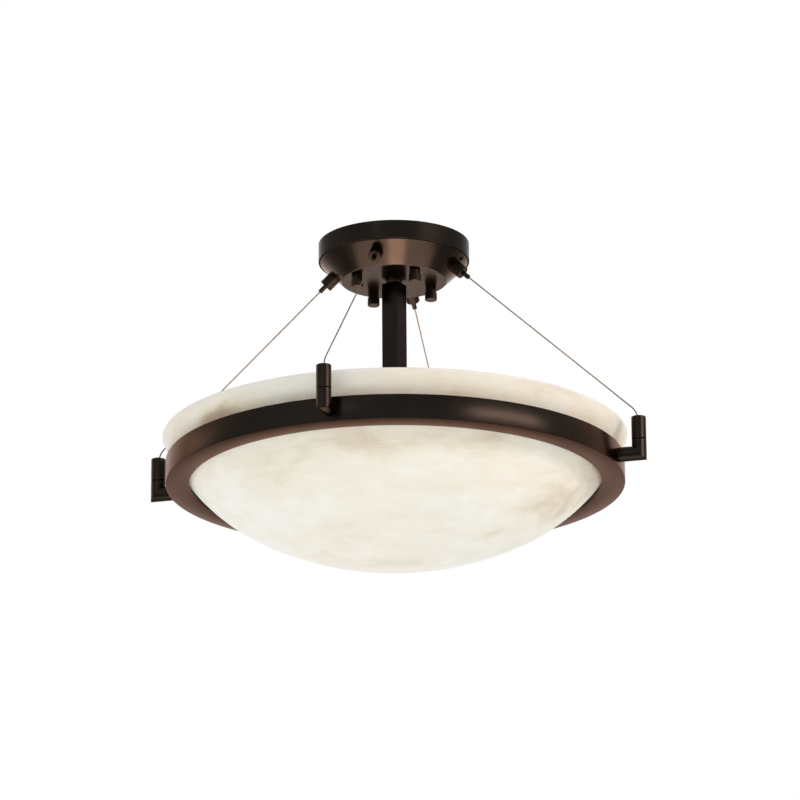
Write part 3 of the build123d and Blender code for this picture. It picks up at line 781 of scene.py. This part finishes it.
def rope_tree():
    tree = Growth("rope", {"Bend": float, "Step": float, "Lay": float, "Bundle": float, "Strands": int})
    route = tree.node("GeometryNodeMeshToCurve", inputs={"Mesh": tree.start.outputs["Geometry"]})
    bend = {"Curve": route.outputs[0], "Radius": tree.given("Bend"), "Count": CABLE_BEND_STEPS}
    rounded = tree.node("GeometryNodeFilletCurve", {"mode": "POLY"}, bend)
    even = {"Curve": rounded.outputs[0], "Length": tree.given("Step")}
    path = tree.node("GeometryNodeResampleCurve", {"mode": "LENGTH"}, even)
    along = Amount(tree, tree.node("GeometryNodeSplineParameter").outputs["Length"])
    twist = {"Curve": path.outputs[0], "Tilt": along / tree.given("Lay") * (2 * pi)}
    twisted = tree.node("GeometryNodeSetCurveTilt", inputs=twist)
    strand_radius = tree.given("Bundle") / 3
    around = {"Resolution": tree.given("Strands"), "Radius": strand_radius * 2}
    places = tree.node("GeometryNodeCurvePrimitiveCircle", inputs=around)
    strand = {"Resolution": STRAND_SIDES, "Radius": strand_radius * STRAND_OVERLAP}
    outline = tree.node("GeometryNodeCurvePrimitiveCircle", inputs=strand)
    spread = {"Points": places.outputs[0], "Instance": outline.outputs[0]}
    strands = tree.node("GeometryNodeInstanceOnPoints", inputs=spread)
    bundle = tree.node("GeometryNodeJoinGeometry", inputs={"Geometry": strands.outputs[0]})
    tree.plug(bundle.inputs["Geometry"], outline.outputs[0])
    real = tree.node("GeometryNodeRealizeInstances", inputs={"Geometry": bundle.outputs[0]})
    sweep = {"Curve": twisted.outputs[0], "Profile Curve": real.outputs[0], "Fill Caps": True}
    return tree.close(tree.node("GeometryNodeCurveToMesh", inputs=sweep).outputs[0])


def make_cables():
    tree = rope_tree()
    values = {
        "Bend": CABLE_BEND,
        "Step": CABLE_STEP,
        "Lay": CABLE_LAY,
        "Bundle": CABLE_RADIUS,
        "Strands": CABLE_STRANDS,
    }
    low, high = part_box("post_cap_right")
    cable_low, cable_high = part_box("cable_right")
    corner = Vector(((low.x + high.x) / 2, 0, high.z + CABLE_CORNER_RISE))
    end = Vector((corner.x, 0, cable_low.z))
    back = Vector((-cos(radians(CABLE_SLOPE)), 0, sin(radians(CABLE_SLOPE))))
    half_width = CABLE_RADIUS * cos(radians(CABLE_SLOPE))
    tail = corner + back * ((cable_high.z - half_width - corner.z) / back.z)
    for side, angle in SIDES.items():
        turn_side = Matrix.Rotation(radians(angle), 3, "Z")
        points = [turn_side @ point for point in (tail, corner, end)]
        name = f"wire_rope_{side}"
        base = outline_mesh(name, points, [(0, 1), (1, 2)])
        made = grow(name, tree, values, cable_steel, base)
        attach(made, "frame")
        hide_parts(f"cable_{side}")
        print(name, len(made.data.polygons), "faces")


make_cables()

# %% [markdown]
# ### Threads and flutes
#
# A screw thread and the flutes of a socket follow the same idea: a turned surface is pushed in and
# out by a wave. For a thread the wave climbs as it goes round, and for flutes it only goes round.
# The tree moves the points that lie between two heights along the axis, before the piece is turned
# into its place.

# %% Grow a wave on a turned surface


def wave_tree():
    floats = ["Pitch", "Depth", "Start", "End", "Fade", "Least radius"]
    tree = Growth("wave", {**{label: float for label in floats}, "Starts": int})
    place = tree.node("GeometryNodeInputPosition").outputs[0]
    apart = tree.node("ShaderNodeSeparateXYZ", inputs={0: place})
    x, y, z = [Amount(tree, output) for output in apart.outputs]
    radius = (x * x + y * y).math("SQRT")
    angle = y.math("ARCTAN2", x)
    phase = z / tree.given("Pitch") * (2 * pi) - angle * tree.given("Starts")
    wave = phase.math("COSINE") * 0.5 - 0.5
    fade = tree.given("Fade")
    start, end = tree.given("Start"), tree.given("End")
    mask = z.between(start, start + fade) * z.between(end, end - fade)
    outside = radius.math("GREATER_THAN", tree.given("Least radius"))
    push = wave * tree.given("Depth") * mask * outside / radius.math("MAXIMUM", TINY)
    shift = tree.node("ShaderNodeCombineXYZ", inputs={0: x * push, 1: y * push})
    moved = {"Geometry": tree.start.outputs["Geometry"], "Offset": shift.outputs[0]}
    return tree.close(tree.node("GeometryNodeSetPosition", inputs=moved).outputs[0])


def stepped(first, last, steps):
    """Evenly spaced points on a straight stretch of a section."""
    return [
        tuple(a + (b - a) * step / steps for a, b in zip(first, last))
        for step in range(steps + 1)
    ]


waves = wave_tree()
print("wave tree ready")

# %% [markdown]
# ### The lamps, their caps and sockets
#
# The bowl hides them from below, but from the side and from above they are in plain view. Each lamp
# lies along its own arm, so it is first turned about the vertical axis and then laid down. Lamp 1
# points straight back, so its boxes give the distances along every arm.

# %% Sizes on a lamp's arm
socket_low, socket_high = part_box("socket_1")
cap_low, cap_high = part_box("lamp_base_1")
glass_low, glass_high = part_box("lamp_glass_1")
lamp_level = (socket_low.z + socket_high.z) / 2
socket_start, socket_end = socket_low.y, socket_high.y
socket_radius = socket_high.z - lamp_level
cap_start, cap_end = cap_low.y, cap_high.y
cap_radius = cap_high.z - lamp_level
glass_start, bulb_end = glass_low.y, glass_high.y
bulb_radius = glass_high.z - lamp_level
LAMP_TURNS = 96
WAVED_SKIN = 0.1 * MM          # only the points this near the outside are moved by a wave


def lay(made, angle):
    """Moves a piece from the vertical axis onto the arm of one lamp."""
    place = Matrix.Rotation(radians(angle), 4, "Z") @ Matrix.Translation((0, 0, lamp_level))
    made.data.transform(place @ Matrix.Rotation(pi / 2, 4, "Y"))
    return made


def waved(name, section, turns, values, finish, angle):
    """Turns a section, waves its outside and lays it on one lamp's arm."""
    plain = turned(name + "_plain", section, turns, finish)
    blank = plain.data
    bpy.data.objects.remove(plain)
    return lay(grow(name, waves, values, finish, blank), angle)


print(f"lamp: {2 * bulb_radius:.4f} across, ends {bulb_end:.4f} from the axis")

# %% Make the lamps
TIP_LENGTH = 2.4 * MM
TIP_RADIUS = 4.5 * MM
TIP_END_RADIUS = 3.6 * MM
INSULATOR_PLACE = 5.5 * MM     # radius at which the insulator's round edge is centred
CAP_INSULATOR = 3.2 * MM
CAP_EDGE = 1.0 * MM            # plain metal before and after the thread
CAP_FLOOR = 2.0 * MM
CAP_STEPS = 56
INSULATOR_STEPS = 5
CAP_THREAD_PITCH = 3.63 * MM
CAP_THREAD_DEPTH = 1.1 * MM
CAP_THREAD_FADE = 2.0 * MM
GLASS_WALL = 1.0 * MM
GLASS_NECK_IN_CAP = 0.45 * MM
CONE_STEPS = 8
BALL_STEPS = 28


def bulb_side(inset):
    """The glass from the end in the cap, over the cone, to the far pole."""
    neck = cap_radius - GLASS_NECK_IN_CAP - inset
    ball = bulb_radius - inset
    centre = bulb_end - bulb_radius
    reach = hypot(centre - cap_end, neck)
    run = sqrt(reach**2 - ball**2)
    lift = atan2(ball, run) - atan2(neck, centre - cap_end)
    meet = (neck + run * sin(lift), cap_end + run * cos(lift))
    ball_points = arc((0, centre), ball, -degrees(lift), 90, BALL_STEPS)
    ball_points[-1] = (0.0, centre + ball)
    low = glass_start + inset
    return [(neck, low)] + stepped((neck, cap_end), meet, CONE_STEPS) + ball_points[1:]


def make_lamp_glass(number, angle):
    outer = bulb_side(0)
    inner = bulb_side(GLASS_WALL)
    made = lay(turned(f"lamp_envelope_{number}", outer + inner[::-1], LAMP_TURNS, glass), angle)
    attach(made, f"lamp_{number}")
    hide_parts(f"lamp_glass_{number}")


def make_lamp_cap(number, angle):
    shoulder = cap_start + TIP_LENGTH
    foot = shoulder + CAP_INSULATOR
    inside = cap_radius - GLASS_NECK_IN_CAP
    section = [(0.0, cap_start), (TIP_END_RADIUS, cap_start), (TIP_RADIUS, shoulder)]
    section += arc((INSULATOR_PLACE, foot), CAP_INSULATOR, -90, -20, INSULATOR_STEPS)
    section += stepped((cap_radius, foot + CAP_EDGE), (cap_radius, cap_end), CAP_STEPS)
    section += [(inside, cap_end), (inside, foot + CAP_FLOOR), (0.0, foot + CAP_FLOOR)]
    values = {
        "Pitch": CAP_THREAD_PITCH,
        "Depth": CAP_THREAD_DEPTH,
        "Start": foot + CAP_EDGE,
        "End": cap_end - CAP_EDGE,
        "Fade": CAP_THREAD_FADE,
        "Least radius": cap_radius - WAVED_SKIN,
        "Starts": 1,
    }
    made = waved(f"lamp_cap_{number}", section, LAMP_TURNS, values, cap_metal, angle)
    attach(made, f"lamp_{number}")
    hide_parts(f"lamp_base_{number}")


for lamp_number, lamp_angle in LAMPS.items():
    make_lamp_glass(lamp_number, lamp_angle)
    make_lamp_cap(lamp_number, lamp_angle)
print("lamps made:", len(LAMPS))

# %% [markdown]
# ### The sockets
#
# Each socket is a black moulded shell with flutes for the fingers. Thirty flutes could be cut one by
# one, but the wave tree makes them at once: with no climb along the axis the wave only goes round.

# %% Make the sockets
SOCKET_EDGE = 0.8 * MM
SOCKET_EDGE_START = 15.0       # degrees, where the rounded mouth's first point lies
SOCKET_EDGE_STEPS = 4
SOCKET_BACK_BEVEL = 3 * MM
SOCKET_NOSE = 5 * MM           # plain back part before the flutes
SOCKET_COLLAR = 5 * MM         # plain part between the flutes and the mouth
SOCKET_STEPS = 40
SOCKET_FLUTES = 30
POINTS_PER_FLUTE = 8
SOCKET_FLUTE_DEPTH = 0.7 * MM
SOCKET_FLUTE_FADE = 1.5 * MM
SOCKET_MOUTH_RADIUS = 15.6 * MM
SOCKET_MOUTH_DEPTH = 6 * MM
SOCKET_BORE_RADIUS = 13.75 * MM
SOCKET_FLOOR = 8 * MM
SOCKET_HOLE_RADIUS = 5 * MM


def make_socket(number, angle):
    mouth = socket_end - SOCKET_MOUTH_DEPTH
    section = [
        (SOCKET_HOLE_RADIUS, socket_start),
        (socket_radius - SOCKET_BACK_BEVEL, socket_start),
    ]
    edge_level = socket_end - SOCKET_EDGE
    section += stepped(
        (socket_radius, socket_start + SOCKET_BACK_BEVEL),
        (socket_radius, edge_level),
        SOCKET_STEPS,
    )
    edge_centre = (socket_radius - SOCKET_EDGE, edge_level)
    section += arc(edge_centre, SOCKET_EDGE, SOCKET_EDGE_START, 90, SOCKET_EDGE_STEPS)
    section += [
        (SOCKET_MOUTH_RADIUS, socket_end),
        (SOCKET_MOUTH_RADIUS, mouth),
        (SOCKET_BORE_RADIUS, mouth),
        (SOCKET_BORE_RADIUS, socket_start + SOCKET_FLOOR),
        (SOCKET_HOLE_RADIUS, socket_start + SOCKET_FLOOR),
    ]
    values = {
        "Pitch": 1.0,
        "Depth": SOCKET_FLUTE_DEPTH,
        "Start": socket_start + SOCKET_NOSE,
        "End": socket_end - SOCKET_COLLAR,
        "Fade": SOCKET_FLUTE_FADE,
        "Least radius": socket_radius - WAVED_SKIN,
        "Starts": SOCKET_FLUTES,
    }
    turns = POINTS_PER_FLUTE * SOCKET_FLUTES
    made = waved(f"socket_fluted_{number}", section, turns, values, phenolic, angle)
    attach(made, "frame")
    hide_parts(f"socket_{number}")


for lamp_number, lamp_angle in LAMPS.items():
    make_socket(lamp_number, lamp_angle)
print("sockets made:", len(LAMPS))

# %% [markdown]
# ## The springs
#
# Each release nose presses a small spring inside its gripper. The spring is one stiff mesh: its length
# along the nose and the nose's travel are measured and printed, and it gets its own copy of the mesh.

# %% Measure the springs
for side in SIDES:
    joint = next(entry for entry in frame["joints"] if entry["name"] == f"gripper_{side}_release")
    spring = nodes[f"gripper_spring_{side}"]
    inward = Vector(joint["axis"]).normalized()
    reach = [inward.dot(spring.matrix_world @ vertex.co) for vertex in spring.data.vertices]
    length = max(reach) - min(reach)
    travel = joint["range_m"][1]
    1 - travel / length
    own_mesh(spring)
    print(f"{side} spring: {length:.4f} long, pressed by {travel:.4f}")

# %% [markdown]
# ## Light, floor and backdrop
#
# Soft boxes to the right, the left back, the front and below give the bronze its brown streaks. Two
# warm panels that lie in the bowl just above the lamps stand for their light and tint the canopy.
# They are oval, because a square one's corners would reach through the bowl's wall. The world is
# white to the camera and in mirrors, and dimmer as a lamp, so that colours look as written. The
# floor lies where a room has it, far below.

# %% Light the scene
WORLD_AS_LAMP = 0.62
SOFT_BOXES = [                 # name, azimuth, elevation, distance, width, height, radiance, tint
    ("box_right", 55, 13.5, 3.0, 1.9, 0.36, 19.0, (1.0, 0.80, 0.71)),
    ("box_left", -108, 14, 3.0, 1.2, 0.6, 1.3, (1, 1, 1)),
    ("box_front", -25, 17, 3.0, 0.3, 0.5, 3.0, (1, 1, 1)),
    ("box_below", -40, -75, 1.9, 1.6, 1.6, 2.1, (1, 1, 1)),
]
BOWL_PANELS = [                # name, heading, radius, length, width, radiance, tint
    ("bowl_glow", 0, 0, 370 * MM, 370 * MM, 6.0, (1.0, 0.78, 0.68)),
    ("bowl_streak", 22, 115 * MM, 170 * MM, 76 * MM, 20.0, (1.0, 0.66, 0.54)),
]
PANEL_OVER_LAMPS = 0.4 * MM
FLOOR_LEVEL = -2.4
FLOOR_SIZE = 14.0
FLOOR_GRAIN = 3.0
FLOOR_DIM = colour(236, 236, 235)
FLOOR_PALE = colour(240, 240, 239)


def make_world():
    world = bpy.data.worlds.new("studio")
    world.use_nodes = True
    scene.world = world
    tree = Tree(world.node_tree)
    path = tree.node("ShaderNodeLightPath")
    seen = Amount(tree, path.outputs["Is Camera Ray"])
    seen = seen.math("MAXIMUM", path.outputs["Is Glossy Ray"])
    seen = seen.math("MAXIMUM", path.outputs["Is Transmission Ray"])
    strength = seen * (1 - WORLD_AS_LAMP) + WORLD_AS_LAMP
    white = {"Color": (1, 1, 1, 1), "Strength": strength}
    background = tree.node("ShaderNodeBackground", inputs=white)
    tree.node("ShaderNodeOutputWorld", inputs={"Surface": background.outputs[0]})


def panel(name, place, back, width, height, radiance, tint, oval=False):
    """An area lamp at a place; `back` is the direction that it turns its back to."""
    area = width * height * (pi / 4 if oval else 1)
    data = bpy.data.lights.new(name, "AREA")
    data.shape = "ELLIPSE" if oval else "RECTANGLE"
    data.size = width
    data.size_y = height
    data.energy = radiance * area * pi
    data.color = tint
    lamp = bpy.data.objects.new(name, data)
    scene.collection.objects.link(lamp)
    lamp.location = place
    lamp.rotation_euler = back.to_track_quat("Z", "Y").to_euler()
    return lamp


def soft_box(name, azimuth, elevation, distance, width, height, radiance, tint):
    """A panel that faces the bowl. Azimuth is counted to the right of the camera."""
    heading = CAMERA_AZIMUTH + radians(azimuth)
    rise = radians(elevation)
    out = Vector((sin(heading) * cos(rise), -cos(heading) * cos(rise), sin(rise)))
    panel(name, Vector((0, 0, ring_bottom)) + out * distance, out, width, height, radiance, tint)


def bowl_light(name, heading, radius, length, width, radiance, tint):
    """An oval panel that lies in the bowl just above the lamps and shines up at the canopy."""
    angle = radians(heading)
    level = lamp_level + bulb_radius + PANEL_OVER_LAMPS
    place = Vector((radius * sin(angle), -radius * cos(angle), level))
    lamp = panel(name, place, Vector((0, 0, -1)), width, length, radiance, tint, oval=True)
    lamp.rotation_euler = (pi, 0, angle)
    lamp.visible_camera = False


def make_floor():
    bpy.ops.mesh.primitive_plane_add(size=FLOOR_SIZE, location=(0, 0, FLOOR_LEVEL))
    floor = bpy.context.object
    floor.name = "floor"
    made = Finish("floor_paint", {"Roughness": 0.9, "Specular IOR Level": 0.2})
    grain = made.noise(FLOOR_GRAIN)
    made.vary("Base Color", made.blend(grain, FLOOR_DIM, FLOOR_PALE))
    floor.data.materials.append(made.material)


make_world()
make_floor()
for settings in SOFT_BOXES:
    soft_box(*settings)
for settings in BOWL_PANELS:
    bowl_light(*settings)
scene.view_settings.view_transform = "Standard"
print("lamps:", [lamp.name for lamp in bpy.data.lights])
